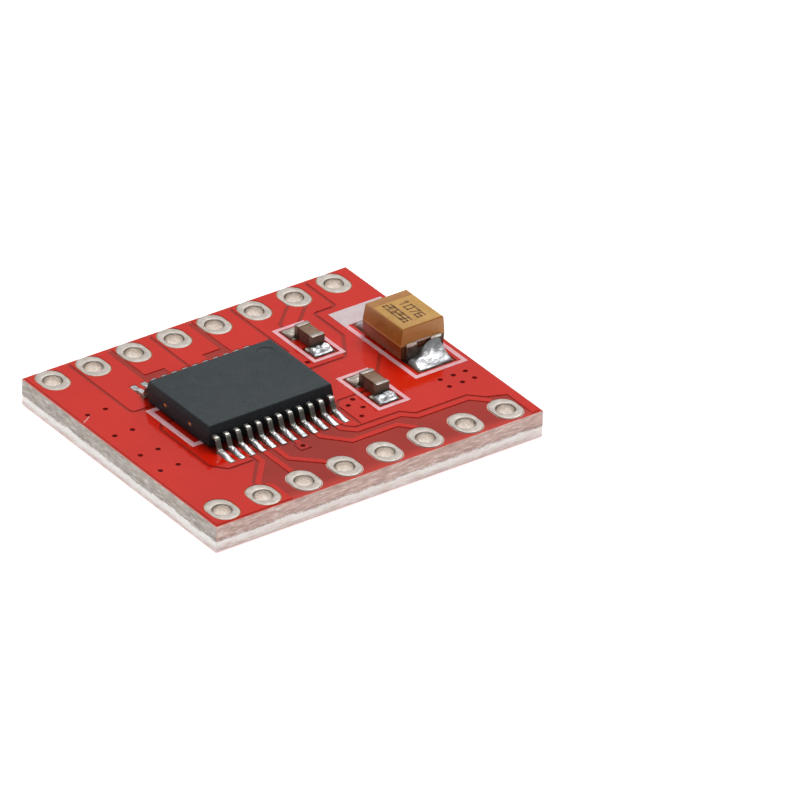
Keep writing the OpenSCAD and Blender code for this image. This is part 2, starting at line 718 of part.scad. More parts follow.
// The slug lies against the negative terminal, and its wire reaches the positive one
module slug_solid() {
    translate([0, -slug_shift, tail_z + terminal_t / 2]) {
        cube([slug_w, slug_l, slug_t], center = true);
        rotate([-90, 0, 0]) cylinder(d = slug_wire_d, h = slug_l / 2 + 2 * slug_shift);
    }
}
module tantalum_slug() {
    color("dimgray") at_tantalum() slug_solid();
}
module tantalum_body() {
    color("peru") at_tantalum() difference() {
        translate([0, 0, board_t + terminal_t])
            moulded_block(tantalum_w, tantalum_l, tantalum_t - terminal_t,
                tantalum_parting - 1.5 * terminal_t, terminal_t, tantalum_draft,
                tantalum_bevel);
        terminal_tails();
        slug_solid();
    }
}

// Solder: a coat on each pad, and a hollow fillet up the metal that stands on it
function fillet_curve(l, h, steps = 5) = [
    for (k = [0:steps]) let (a = 90 * k / steps) [l * (1 - cos(a)), h * (1 - sin(a))]
];
// A fillet at x that runs from a face at y = from, down to the pad's end at y = to
module fillet(x, from, to, h, w) {
    translate([x, from, board_t]) mirror([0, to < from ? 1 : 0, 0])
        rotate([90, 0, 90]) linear_extrude(w, center = true)
            polygon(concat([[0, 0]], fillet_curve(abs(to - from), h)));
}
module pad_coat() {
    translate([0, 0, foil_top_z]) linear_extrude(board_t - foil_top_z) children();
}
module solder_joints() {
    color("lightgray") {
        pad_coat() parts_pads_plan();
        for (side = [-1, 1]) {
            for (i = [1:leads])
                fillet(lead_x(i), chip_y + side * lead_span / 2,
                    chip_y + side * chip_pad_span / 2, toe_solder_h, chip_pad_w);
            for (c = ceramic_centres)
                fillet(c.x, c.y - ceramic_slip + side * ceramic_l / 2,
                    c.y + side * (ceramic_pad_pitch + ceramic_pad_l) / 2,
                    ceramic_solder_h, ceramic_w);
            fillet(tantalum_x, tantalum_y + side * (tantalum_l / 2 + terminal_t),
                tantalum_pad_y + side * (tantalum_pad_pitch + tantalum_pad_l) / 2,
                terminal_solder_h, terminal_w);
        }
    }
}

substrate();
foil_top();
foil_bottom();
solder_mask_top();
solder_mask_bottom();
legend_ink();
via_barrels();
for (i = [1:2 * columns]) plated_hole(i);
chip_body();
chip_paddle();
chip_die();
for (i = [1:2 * leads]) chip_lead(i);
ceramic_body(ceramic_centres[0]);  // front_ceramic_body
ceramic_caps(ceramic_centres[0]);  // front_ceramic_caps
ceramic_body(ceramic_centres[1]);  // rear_ceramic_body
ceramic_caps(ceramic_centres[1]);  // rear_ceramic_caps
tantalum_body();
tantalum_slug();
positive_terminal();
negative_terminal();
solder_joints();
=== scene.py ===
import math

import bmesh
import bpy
from mathutils import Matrix, Vector


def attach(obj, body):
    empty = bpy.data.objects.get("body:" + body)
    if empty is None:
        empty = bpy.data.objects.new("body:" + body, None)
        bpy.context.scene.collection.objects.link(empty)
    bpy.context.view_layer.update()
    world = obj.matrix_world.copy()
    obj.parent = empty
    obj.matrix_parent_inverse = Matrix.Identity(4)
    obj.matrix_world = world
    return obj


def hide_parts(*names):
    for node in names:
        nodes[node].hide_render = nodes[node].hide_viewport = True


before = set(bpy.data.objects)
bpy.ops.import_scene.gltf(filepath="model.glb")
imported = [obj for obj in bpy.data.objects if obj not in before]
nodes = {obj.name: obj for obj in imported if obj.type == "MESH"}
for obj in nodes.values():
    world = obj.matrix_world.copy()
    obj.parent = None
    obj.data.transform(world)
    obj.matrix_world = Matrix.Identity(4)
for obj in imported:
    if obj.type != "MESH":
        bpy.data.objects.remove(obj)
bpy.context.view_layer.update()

MM = 0.001
# The one body that every piece rides on
BODY = "root"

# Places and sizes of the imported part, in millimetres
BOARD_TOP = 1.6
BOARD_MIDDLE = (0.16, -0.08)
BOARD_HALF = (10.225, 8.725)
FOIL_HALF = (10.0, 8.5)
PITCH = 2.54
ROW = 7.62
HEADERS = [((i - 3.5) * PITCH, side * ROW) for side in (-1, 1) for i in range(8)]
BORE_R = 0.52
PAD_W = 1.55
PAD_L = 2.05
CHIP = (-2.22, 0.35)
LEADS_X = [CHIP[0] + (i - 5.5) * 0.65 for i in range(12)]
# From the chip's middle to its pads' outer ends
PAD_FAR = 4.525
PADS_FRONT = CHIP[1] - PAD_FAR
CERAMIC_PADS = [(4.34, -2.21), (4.34, 3.53)]
# The ceramic capacitors sit this far in front of their pads' middle
CERAMIC_SLIP = 0.13
TANTALUM = (8.46, 0.8)
TANTALUM_PADS = (8.43, 0.7)
LONE_VIA = (LEADS_X[6], PADS_FRONT - 0.65)
# Frames round the capacitors where the mask over the laminate is darker, as centre and half size
DARKER_MASK_FRAMES = [((8.43, 0.63), (1.4, 2.95))] + [(pad, (0.8, 1.68)) for pad in CERAMIC_PADS]


# Node helpers
class Graph:
    """A small builder for a material's or the world's node tree."""

    def __init__(self, tree):
        self.tree = tree
        tree.nodes.clear()

    def add(self, kind, **settings):
        """A new node with these settings."""
        node = self.tree.nodes.new(kind)
        for key, value in settings.items():
            setattr(node, key, value)
        return node

    def feed(self, socket, value):
        """Link another socket to this one, or set its value. None leaves it as it is."""
        if isinstance(value, bpy.types.NodeSocket):
            self.tree.links.new(value, socket)
        elif value is not None:
            socket.default_value = value

    def math(self, operation, a, b=None):
        """One sum of two values or sockets."""
        node = self.add("ShaderNodeMath", operation=operation)
        self.feed(node.inputs[0], a)
        self.feed(node.inputs[1], b)
        return node.outputs[0]

    def ramp(self, value, low, high):
        """0 at low and 1 at high, with a soft start and end."""
        node = self.add("ShaderNodeMapRange", interpolation_type="SMOOTHSTEP")
        self.feed(node.inputs["Value"], value)
        self.feed(node.inputs["From Min"], low)
        self.feed(node.inputs["From Max"], high)
        return node.outputs["Result"]

    def between(self, value, low, high):
        """A value from 0 to 1, stretched to run from low to high."""
        node = self.add("ShaderNodeMapRange")
        self.feed(node.inputs["Value"], value)
        self.feed(node.inputs["To Min"], low)
        self.feed(node.inputs["To Max"], high)
        return node.outputs["Result"]

    def mix(self, factor, a, b):
        """Colour a at 0 and b at 1."""
        node = self.add("ShaderNodeMix", data_type="RGBA")
        self.feed(node.inputs["Factor"], factor)
        self.feed(node.inputs["A"], a)
        self.feed(node.inputs["B"], b)
        return [s for s in node.outputs if s.type == "RGBA"][0]

    def tones(self, noise, low, high, a, b):
        """Colour a where the noise is under low, and b where it is over high."""
        return self.mix(self.ramp(noise, low, high), a, b)

    def part(self, factor, share, a, b):
        """Mix with a share of the factor."""
        return self.mix(self.math("MULTIPLY", factor, share), a, b)

    def band(self, value, rise, fall):
        """1 between two soft edges, each given in millimetres as (start, end)."""
        return self.math("MULTIPLY", self.ramp(value, rise[0] * MM, rise[1] * MM),
                         self.ramp(value, fall[0] * MM, fall[1] * MM))

    def swing(self, noise, reach_mm):
        """Noise from 0 to 1 as a shift in metres, over reach_mm in all."""
        return self.math("MULTIPLY", self.math("SUBTRACT", noise, 0.5), reach_mm * MM)

    def place(self):
        """The surface point's place in the part's frame, in metres."""
        return self.add("ShaderNodeTexCoord").outputs["Object"]

    def normal(self):
        """The surface's own normal, as x, y and z."""
        return self.axes(self.add("ShaderNodeNewGeometry").outputs["Normal"])

    def scaled(self, vector, scale):
        """A place stretched along each axis."""
        node = self.add("ShaderNodeMapping")
        self.feed(node.inputs["Vector"], vector)
        self.feed(node.inputs["Scale"], scale)
        return node.outputs["Vector"]

    def noise(self, vector, per_mm, detail=3.0, rough=0.55):
        """Noise with about per_mm features in a millimetre."""
        node = self.add("ShaderNodeTexNoise")
        self.feed(node.inputs["Vector"], vector)
        self.feed(node.inputs["Scale"], per_mm / MM)
        self.feed(node.inputs["Detail"], detail)
        self.feed(node.inputs["Roughness"], rough)
        return node.outputs["Fac"]

    def within(self, x, y, centre, half, soft=0.04):
        """1 inside a rectangle given in millimetres, 0 outside, with a soft edge."""
        shares = []
        for value, middle, reach in ((x, centre[0], half[0]), (y, centre[1], half[1])):
            away = self.math("ABSOLUTE", self.math("SUBTRACT", value, middle * MM))
            shares.append(self.ramp(away, (reach + soft) * MM, (reach - soft) * MM))
        return self.math("MULTIPLY", shares[0], shares[1])

    def axes(self, vector):
        """A vector's x, y and z."""
        node = self.add("ShaderNodeSeparateXYZ")
        self.feed(node.inputs[0], vector)
        return tuple(node.outputs)

    def bump(self, height, depth_mm, strength=1.0, normal=None):
        """A normal tilted by a height from 0 to 1, depth_mm deep, over another normal."""
        node = self.add("ShaderNodeBump")
        self.feed(node.inputs["Height"], height)
        self.feed(node.inputs["Distance"], depth_mm * MM)
        self.feed(node.inputs["Strength"], strength)
        self.feed(node.inputs["Normal"], normal)
        return node.outputs["Normal"]

    def shade(self, color, roughness, metallic=0.0, normal=None, **sockets):
        """The surface itself. Other sockets are named with _ for a space."""
        node = self.add("ShaderNodeBsdfPrincipled")
        self.feed(node.inputs["Base Color"], color)
        self.feed(node.inputs["Roughness"], roughness)
        self.feed(node.inputs["Metallic"], metallic)
        self.feed(node.inputs["Normal"], normal)
        for name, value in sockets.items():
            self.feed(node.inputs[name.replace("_", " ")], value)
        out = self.add("ShaderNodeOutputMaterial")
        self.feed(out.inputs["Surface"], node.outputs[0])


def rgb(r, g, b):
    """A colour as seen in an sRGB picture, 0 to 255, as Blender's linear colour."""
    def linear(c):
        c = c / 255
        return c / 12.92 if c <= 0.04045 else ((c + 0.055) / 1.055) ** 2.4
    return (linear(r), linear(g), linear(b), 1.0)


def material(name):
    """A new material and the graph that fills it."""
    made = bpy.data.materials.new(name)
    made.use_nodes = True
    return made, Graph(made.node_tree)


# Materials
def scratch(g, place, x, y):
    """How much a point lies in the short fine scratch near the top's left edge."""
    start, along_x, along_y = (-10.0, 3.2), 0.848, 0.53
    px = g.math("SUBTRACT", x, start[0] * MM)
    py = g.math("SUBTRACT", y, start[1] * MM)
    along = g.math("ADD", g.math("MULTIPLY", px, along_x), g.math("MULTIPLY", py, along_y))
    across = g.math("SUBTRACT", g.math("MULTIPLY", py, along_x), g.math("MULTIPLY", px, along_y))
    wobble = g.swing(g.noise(place, 2.5, 2.0), 0.12)
    across = g.math("ABSOLUTE", g.math("ADD", across, wobble))
    inside = g.ramp(across, 0.045 * MM, 0.015 * MM)
    ends = g.band(along, (0.0, 0.1), (0.95, 0.7))
    broken = g.ramp(g.noise(place, 5.0, 2.0), 0.38, 0.5)
    return g.math("MULTIPLY", g.math("MULTIPLY", inside, ends), broken)


def island_veil(g, x, y):
    """How much thick mask hides the small island round the lone via, most at its corners."""
    island = g.within(x, y, LONE_VIA, (0.36, 0.36))
    dx = g.math("SUBTRACT", x, LONE_VIA[0] * MM)
    dy = g.math("SUBTRACT", y, LONE_VIA[1] * MM)
    away = g.math("SQRT", g.math("ADD", g.math("MULTIPLY", dx, dx), g.math("MULTIPLY", dy, dy)))
    corners = g.ramp(away, 0.24 * MM, 0.31 * MM)
    return g.math("MULTIPLY", island, g.between(corners, 0.45, 1.0))


def mask_material(name, upper):
    """Red mask: bright over foil, darker where it lies on the laminate."""
    made, g = material(name)
    place = g.place()
    x, y, z = g.axes(place)
    # The mask's level over the laminate, and over the foil
    low, high = (1.566, 1.598) if upper else (0.034, 0.002)
    foil = g.ramp(z, low * MM, high * MM)
    broad = g.noise(place, 0.22, 2.0)
    fine = g.noise(place, 9.0, 4.0, 0.7)
    over_foil = g.tones(broad, 0.35, 0.7, rgb(210, 26, 3), rgb(218, 30, 6))
    over_board = g.tones(broad, 0.3, 0.7, rgb(160, 29, 13), rgb(172, 35, 17))
    if upper:
        # Darker frames round the capacitors, and a painted glow of light through the laminate along
        # the cut edges
        framed = 0.0
        for centre, half in DARKER_MASK_FRAMES:
            framed = g.math("MAXIMUM", g.within(x, y, centre, half), framed)
        over_board = g.part(framed, 0.85, over_board, rgb(118, 42, 32))
        # Painted light: near the cut edges the mask over the laminate is lightened, as if lit
        # through the laminate's edge
        beside = g.math("SUBTRACT", 1.0, g.within(x, y, BOARD_MIDDLE, FOIL_HALF, 0.05))
        painted_edge_glow = g.math("MAXIMUM", g.ramp(y, -8.0 * MM, -8.8 * MM), beside)
        over_board = g.part(painted_edge_glow, 0.75, over_board, rgb(212, 58, 46))
        foil = g.math("MULTIPLY", foil, g.math("SUBTRACT", 1.0, island_veil(g, x, y)))
    color = g.mix(foil, over_board, over_foil)
    color = g.part(g.ramp(fine, 0.4, 0.75), 0.12, color, rgb(214, 62, 48))
    if upper:
        # Painted shade darkens the mask round and under the chip
        painted_chip_shade = g.within(x, y, CHIP, (3.85, 3.5), 0.3)
        color = g.part(painted_chip_shade, 0.88, color, rgb(46, 14, 10))
    # The mask's own cut edge, all round the board
    rim = g.math("SUBTRACT", 1.0, g.within(x, y, BOARD_MIDDLE, BOARD_HALF, 0.01))
    color = g.part(rim, 0.8, color, rgb(226, 128, 112))
    if upper:
        color = g.mix(scratch(g, place, x, y), color, rgb(232, 196, 186))
    normal = g.bump(g.noise(place, 1.6, 2.0), 0.010)
    normal = g.bump(fine, 0.0012, 1.0, normal)
    g.shade(color, 0.6, normal=normal, Specular_IOR_Level=0.0,
            Coat_Weight=1.0, Coat_Roughness=0.09, Coat_IOR=1.5, Coat_Normal=normal)
    return made


def laminate_material():
    """Cut fibreglass: level streaks of glass and resin, with a painted shadow and highlight along a
    rough line part way up.
    """
    made, g = material("fibreglass")
    place = g.place()
    nx, ny, nz = g.normal()
    y, z = g.axes(place)[1:]
    streaks = g.noise(g.scaled(place, (0.12, 0.12, 1.0)), 14.0, 5.0, 0.65)
    wide = g.noise(g.scaled(place, (0.25, 0.25, 1.0)), 3.2, 3.0)
    grain = g.noise(place, 10.0, 4.0, 0.7)
    wander = g.swing(g.noise(place, 0.5, 4.0), 0.46)
    fray = g.swing(streaks, 0.55)
    # Level is the height with a wandering, frayed shift, so no band of colour is straight
    level = g.math("ADD", z, g.math("ADD", wander, fray))
    upper = g.ramp(level, 0.57 * MM, 0.74 * MM)
    patches = g.ramp(wide, 0.3, 0.7)
    left_face = g.ramp(nx, -0.4, -0.7)
    brown_high = g.mix(patches, rgb(188, 152, 142), rgb(222, 190, 180))
    grey_high = g.mix(patches, rgb(156, 147, 138), rgb(192, 184, 175))
    brown_low = g.mix(patches, rgb(248, 230, 224), rgb(255, 250, 246))
    high = g.mix(left_face, brown_high, grey_high)
    low = g.mix(left_face, brown_low, rgb(255, 251, 247))
    foot = g.math("MULTIPLY", g.ramp(level, 0.42 * MM, 0.12 * MM), g.between(patches, 0.95, 0.45))
    low = g.mix(foot, low, rgb(220, 198, 192))
    color = g.mix(upper, low, high)
    color = g.part(g.ramp(streaks, 0.50, 0.68), 0.7, color, rgb(252, 246, 242))
    dark_thread = g.math("MULTIPLY", g.ramp(streaks, 0.48, 0.32), g.between(upper, 0.25, 0.7))
    color = g.mix(dark_thread, color, rgb(160, 132, 122))
    # A painted shadow band part way up, and under it a painted highlight line where the torn lower
    # layer catches the light
    painted_ledge_shadow = g.band(level, (0.60, 0.66), (0.82, 0.70))
    painted_ledge_shadow = g.math("MULTIPLY", painted_ledge_shadow, g.ramp(grain, 0.42, 0.6))
    color = g.part(painted_ledge_shadow, 0.6, color, rgb(136, 106, 96))
    line = g.band(level, (0.48, 0.54), (0.64, 0.58))
    line = g.math("MULTIPLY", line, g.ramp(grain, 0.35, 0.6))
    color = g.mix(line, color, rgb(255, 253, 251))
    # Painted shade: the rear and right cuts, on the key lamp's side, are made a little browner and
    # darker
    painted_rear_shade = g.math("MAXIMUM", g.ramp(nx, 0.4, 0.7), g.ramp(ny, 0.4, 0.7))
    color = g.part(painted_rear_shade, 0.5, color, rgb(186, 164, 154))
    ragged = g.math("ADD", z, g.math("MULTIPLY", grain, 0.08 * MM))
    rim = g.ramp(ragged, 1.56 * MM, 1.62 * MM)
    color = g.part(rim, 0.6, color, rgb(226, 140, 126))
    # The flat laminate, seen only in the gaps round the pads
    face = g.ramp(g.math("ABSOLUTE", nz), 0.6, 0.8)
    by_pads = g.ramp(g.math("ABSOLUTE", y), 6.2 * MM, 6.4 * MM)
    flat_color = g.mix(by_pads, rgb(108, 62, 50), rgb(236, 206, 196))
    color = g.mix(face, color, flat_color)
    height = g.math("ADD", streaks, g.math("MULTIPLY", grain, 0.6))
    g.shade(color, g.between(grain, 0.6, 0.85), normal=g.bump(height, 0.05, 0.8))
    return made


def metal_material(name, color, dull, roughness, waviness):
    """Tin, solder or copper: slightly mottled, with a surface waviness mm deep."""
    made, g = material(name)
    place = g.place()
    mottle = g.noise(place, 2.2, 4.0, 0.6)
    fine = g.noise(place, 14.0, 3.0, 0.6)
    tone = g.tones(mottle, 0.35, 0.7, color, dull)
    normal = g.bump(g.noise(place, 3.0, 2.0), waviness)
    normal = g.bump(fine, 0.004, 1.0, normal)
    rough = g.between(g.ramp(mottle, 0.3, 0.75), roughness[0], roughness[1])
    g.shade(tone, rough, 1.0, normal)
    return made


def barrel_material():
    """A header pad: satin tin on its faces, and pale oxide in its bore."""
    made, g = material("tinned_pad")
    place = g.place()
    nz = g.normal()[2]
    z = g.axes(place)[2]
    mottle = g.noise(place, 2.6, 4.0, 0.6)
    fine = g.noise(place, 16.0, 3.0, 0.6)
    face = g.tones(mottle, 0.35, 0.65, rgb(197, 189, 181), rgb(179, 171, 163))
    bore = g.tones(g.noise(place, 5.0, 3.0), 0.35, 0.65, rgb(247, 242, 238), rgb(235, 228, 221))
    wall = g.ramp(g.math("ABSOLUTE", nz), 0.55, 0.25)
    color = g.mix(wall, face, bore)
    lip = g.math("MULTIPLY", wall, g.ramp(z, 1.50 * MM, 1.56 * MM))
    color = g.part(lip, 0.7, color, rgb(150, 126, 112))
    bump = g.bump(g.noise(place, 3.0, 2.0), 0.012)
    bump = g.bump(fine, 0.004, 1.0, bump)
    rough = g.between(wall, 0.5, 0.24)
    g.shade(color, rough, g.between(wall, 0.75, 1.0), bump)
    return made


def moulding_material():
    """The chip's black moulding: a fine matt texture with a few pale specks, and painted shade on
    its upright sides.
    """
    made, g = material("black_moulding")
    place = g.place()
    fine = g.noise(place, 10.0, 4.0, 0.75)
    mottle = g.noise(place, 1.4, 4.0, 0.6)
    color = g.tones(mottle, 0.3, 0.7, rgb(42, 51, 55), rgb(49, 57, 61))
    color = g.part(g.ramp(fine, 0.5, 0.72), 0.6, color, rgb(84, 94, 98))
    color = g.part(g.ramp(fine, 0.5, 0.3), 0.7, color, rgb(32, 37, 40))
    # Painted shade: the upright sides are darkened
    upright = g.ramp(g.normal()[2], 0.7, 0.3)
    color = g.part(upright, 0.85, color, rgb(22, 32, 36))
    g.shade(color, g.between(fine, 0.5, 0.68), normal=g.bump(fine, 0.014, 0.8),
            Specular_IOR_Level=0.28)
    return made


def ceramic_material():
    """A ceramic capacitor's body: brown on top, darker down its sides."""
    made, g = material("brown_ceramic")
    place = g.place()
    mottle = g.noise(place, 2.8, 4.0, 0.6)
    fine = g.noise(place, 16.0, 3.0)
    color = g.tones(mottle, 0.3, 0.7, rgb(122, 90, 66), rgb(146, 113, 85))
    color = g.part(g.ramp(fine, 0.5, 0.7), 0.35, color, rgb(92, 62, 50))
    side = g.tones(mottle, 0.3, 0.7, rgb(76, 47, 31), rgb(94, 62, 44))
    color = g.mix(g.ramp(g.normal()[2], 0.7, 0.4), color, side)
    g.shade(color, 0.42, normal=g.bump(fine, 0.006, 0.7))
    return made


def cap_material():
    """A ceramic capacitor's cap: satin tin on top, and dull olive down its upright faces."""
    made, g = material("tinned_cap")
    place = g.place()
    z = g.axes(place)[2]
    mottle = g.noise(place, 3.2, 4.0, 0.6)
    top = g.tones(mottle, 0.35, 0.7, rgb(170, 160, 153), rgb(142, 132, 124))
    side = g.mix(g.ramp(z, 1.75 * MM, 2.2 * MM), rgb(58, 54, 45), rgb(118, 113, 97))
    upright = g.ramp(g.normal()[2], 0.75, 0.45)
    bump = g.bump(g.noise(place, 9.0, 3.0), 0.012)
    g.shade(g.mix(upright, top, side), 0.45, g.between(upright, 0.9, 0.35), bump)
    return made


def lead_material():
    """A chip lead: satin tin on its shoulder and foot, and painted shade down its drop."""
    made, g = material("tinned_lead")
    place = g.place()
    z = g.axes(place)[2]
    mottle = g.noise(place, 3.0, 4.0, 0.6)
    bright = g.tones(mottle, 0.35, 0.7, rgb(206, 204, 196), rgb(170, 168, 160))
    level = g.math("ADD", z, g.swing(mottle, 0.15))
    # Painted shade: the lead's drop is dark grey and less metallic
    painted_drop_shade = g.band(level, (1.76, 1.88), (2.32, 2.16))
    painted_drop_shade = g.math("MULTIPLY", painted_drop_shade, g.ramp(g.normal()[2], 0.75, 0.4))
    color = g.part(painted_drop_shade, 0.85, bright, rgb(72, 72, 64))
    bump = g.bump(g.noise(place, 7.0, 3.0), 0.012)
    g.shade(color, 0.4, g.between(painted_drop_shade, 1.0, 0.6), bump)
    return made


def strap_material():
    """A tantalum terminal: bright where it leaves the moulding, dark with flux below."""
    made, g = material("tinned_strap")
    place = g.place()
    z = g.axes(place)[2]
    mottle = g.noise(place, 3.0, 4.0, 0.6)
    level = g.math("ADD", z, g.swing(mottle, 0.2))
    bright = g.ramp(level, 2.40 * MM, 2.50 * MM)
    dark = g.tones(mottle, 0.35, 0.65, rgb(70, 60, 52), rgb(112, 100, 90))
    color = g.mix(bright, dark, rgb(214, 210, 202))
    bump = g.bump(g.noise(place, 5.0, 3.0), 0.03)
    g.shade(color, 0.4, g.between(bright, 0.55, 1.0), bump)
    return made


def ochre_material():
    """The tantalum's moulding: glossy ochre sides, and a paler matt top."""
    made, g = material("ochre_moulding")
    place = g.place()
    y, z = g.axes(place)[1:]
    ny, nz = g.normal()[1:]
    mottle = g.noise(place, 1.2, 4.0, 0.6)
    fine = g.noise(place, 14.0, 3.0, 0.7)
    side = g.tones(mottle, 0.3, 0.7, rgb(160, 94, 32), rgb(178, 112, 42))
    below = g.ramp(z, 2.53 * MM, 2.49 * MM)
    lower = g.tones(mottle, 0.3, 0.7, rgb(132, 60, 20), rgb(152, 76, 28))
    side = g.mix(below, side, lower)
    front = g.ramp(ny, -0.7, -0.95)
    pale = g.math("MULTIPLY", front, g.ramp(z, 2.56 * MM, 2.60 * MM))
    side = g.part(pale, 0.55, side, rgb(214, 156, 92))
    side = g.part(g.math("MULTIPLY", front, below), 0.8, side, rgb(70, 38, 20))
    ridge = g.band(z, (2.48, 2.52), (2.61, 2.57))
    side = g.part(ridge, 0.8, side, rgb(206, 158, 96))
    top = g.tones(mottle, 0.3, 0.7, rgb(206, 158, 82), rgb(188, 140, 66))
    lasered = g.math("MULTIPLY", g.ramp(nz, 0.8, 0.95), g.ramp(z, 3.44 * MM, 3.47 * MM))
    bar = g.tones(mottle, 0.3, 0.7, rgb(170, 112, 56), rgb(184, 128, 70))
    top = g.mix(g.ramp(y, 1.80 * MM, 1.84 * MM), top, bar)
    color = g.mix(lasered, side, top)
    color = g.part(g.ramp(fine, 0.5, 0.75), 0.25, color, rgb(222, 186, 120))
    rough = g.between(lasered, 0.3, 0.5)
    g.shade(color, rough, normal=g.bump(fine, 0.008, 0.7), Specular_IOR_Level=0.35)
    return made


def ink_material(name, color, speck, roughness=0.55, bar=None, gloss=0.5):
    """Matt ink with specks. bar is the colour of the wide bar behind the tantalum."""
    made, g = material(name)
    place = g.place()
    patch = g.noise(place, 1.8, 4.0, 0.6)
    fine = g.noise(place, 12.0, 3.0, 0.7)
    tone = g.tones(patch, 0.35, 0.7, color, speck)
    tone = g.part(g.ramp(fine, 0.52, 0.75), 0.4, tone, speck)
    if bar is not None:
        x, y = g.axes(place)[:2]
        inside = g.math("MULTIPLY", g.ramp(x, 6.6 * MM, 6.7 * MM), g.ramp(y, 3.6 * MM, 3.72 * MM))
        bar_tone = g.tones(patch, 0.35, 0.7, bar, rgb(206, 186, 188))
        tone = g.mix(inside, tone, bar_tone)
    g.shade(tone, roughness, normal=g.bump(fine, 0.006, 0.7), Specular_IOR_Level=gloss)
    return made


MASK_TOP = mask_material("red_mask_top", True)
MASK_BOTTOM = mask_material("red_mask_bottom", False)
FIBREGLASS = laminate_material()
PAD = barrel_material()
SOLDER = metal_material("bright_solder", rgb(200, 202, 204), rgb(168, 170, 173),
                        (0.36, 0.56), 0.045)
LEAD = lead_material()
CAP = cap_material()
STRAP = strap_material()
COPPER = metal_material("copper", rgb(196, 120, 80), rgb(160, 92, 60), (0.3, 0.45), 0.01)
VIA = ink_material("mask_in_via", rgb(120, 12, 8), rgb(92, 10, 8), 0.7, gloss=0.1)
DULL_SOLDER = metal_material("dull_solder", rgb(196, 188, 178), rgb(160, 150, 140),
                             (0.5, 0.62), 0.03)
TIE_BAR = metal_material("bare_copper_ends", rgb(222, 190, 116), rgb(190, 154, 84),
                         (0.4, 0.55), 0.01)
BLACK = moulding_material()
CERAMIC = ceramic_material()
OCHRE = ochre_material()
INK = ink_material("legend_ink_white", rgb(244, 190, 196), rgb(234, 170, 178),
                   bar=rgb(216, 200, 203))
DARK_MARK = ink_material("dark_marking", rgb(134, 92, 38), rgb(112, 74, 30))
HIDDEN = metal_material("hidden_metal", rgb(150, 150, 150), rgb(120, 120, 120),
                        (0.4, 0.5), 0.004)


def paint(obj, made):
    """Give a piece this one material."""
    obj.data.materials.clear()
    obj.data.materials.append(made)
    return obj


for node_name, made in [
        ("substrate", FIBREGLASS), ("foil_top", COPPER), ("foil_bottom", COPPER),
        ("solder_mask_top", MASK_TOP), ("solder_mask_bottom", MASK_BOTTOM),
        ("legend_ink", INK), ("via_barrels", VIA), ("chip_paddle", TIE_BAR),
        ("chip_die", HIDDEN), ("tantalum_slug", HIDDEN)]:
    paint(nodes[node_name], made)


# Mesh helpers
def add_mesh(name, points, faces, made, replaced=(), smooth=True):
    """A new piece from points in millimetres."""
    mesh = bpy.data.meshes.new(name)
    mesh.from_pydata([Vector(p) * MM for p in points], [], faces)
    piece = bpy.data.objects.new(name, mesh)
    bpy.context.scene.collection.objects.link(piece)
    bm = bmesh.new()
    bm.from_mesh(mesh)
    bmesh.ops.recalc_face_normals(bm, faces=bm.faces)
    bm.to_mesh(mesh)
    bm.free()
    if smooth:
        mesh.polygons.foreach_set("use_smooth", [True] * len(mesh.polygons))
    paint(piece, made)
    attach(piece, BODY)
    if replaced:
        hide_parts(*replaced)
    return piece


# Points nearer than this are one, and faces flatter than this are merged
WELD = 1e-7
FLAT = math.radians(1)
# Edges over these angles are bevelled, and stay sharp in the shading
BEVEL_OVER = math.radians(32)
SHARP_OVER = math.radians(40)


def softened(name, source, width, segments, made):
    """A copy of a CAD node with its sharp edges bevelled, width in millimetres."""
    bm = bmesh.new()
    bm.from_mesh(nodes[source].data)
    bmesh.ops.remove_doubles(bm, verts=bm.verts, dist=WELD)
    bmesh.ops.dissolve_limit(bm, angle_limit=FLAT, verts=bm.verts, edges=bm.edges)
    for e in bm.edges:
        e.smooth = True
    mesh = bpy.data.meshes.new(name)
    bm.to_mesh(mesh)
    bm.free()
    piece = bpy.data.objects.new(name, mesh)
    bpy.context.scene.collection.objects.link(piece)
    bevel = piece.modifiers.new("bevel", "BEVEL")
    bevel.width = width * MM
    bevel.segments = segments
    bevel.limit_method = "ANGLE"
    bevel.angle_limit = BEVEL_OVER
    bevel.use_clamp_overlap = True
    bpy.context.view_layer.update()
    done = piece.evaluated_get(bpy.context.evaluated_depsgraph_get())
    finished = bpy.data.meshes.new_from_object(done)
    piece.modifiers.clear()
    piece.data = finished
    bpy.data.meshes.remove(mesh)
    finished.name = name
    finished.polygons.foreach_set("use_smooth", [True] * len(finished.polygons))
    finished.set_sharp_from_angle(angle=SHARP_OVER)
    paint(piece, made)
    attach(piece, BODY)
    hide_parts(source)
    return piece


def strip_faces(rings, count, closed_ends=False):
    """Faces between rings of count points that follow each other in one list."""
    faces = []
    for r in range(rings - 1):
        for k in range(count):
            a, b = r * count + k, r * count + (k + 1) % count
            faces.append((a, b, b + count, a + count))
    if closed_ends:
        faces.append(tuple(range(count)))
        faces.append(tuple((rings - 1) * count + k for k in range(count)))
    return faces


# Header pads
def stadium_point(angle, w, l):
    """Where a ray from the centre at this angle meets a stadium's outline."""
    c, s = math.cos(angle), math.sin(angle)
    r, straight = w / 2, (l - w) / 2
    if abs(c) > 1e-9 and abs(s) * r <= abs(c) * straight:
        return (math.copysign(r, c), s * r / abs(c))
    # On the arc: solve |t (c, s) - (0, +-straight)| = r
    m = straight * abs(s)
    t = m + math.sqrt(max(m * m - straight * straight + r * r, 0))
    return (t * c, t * s)


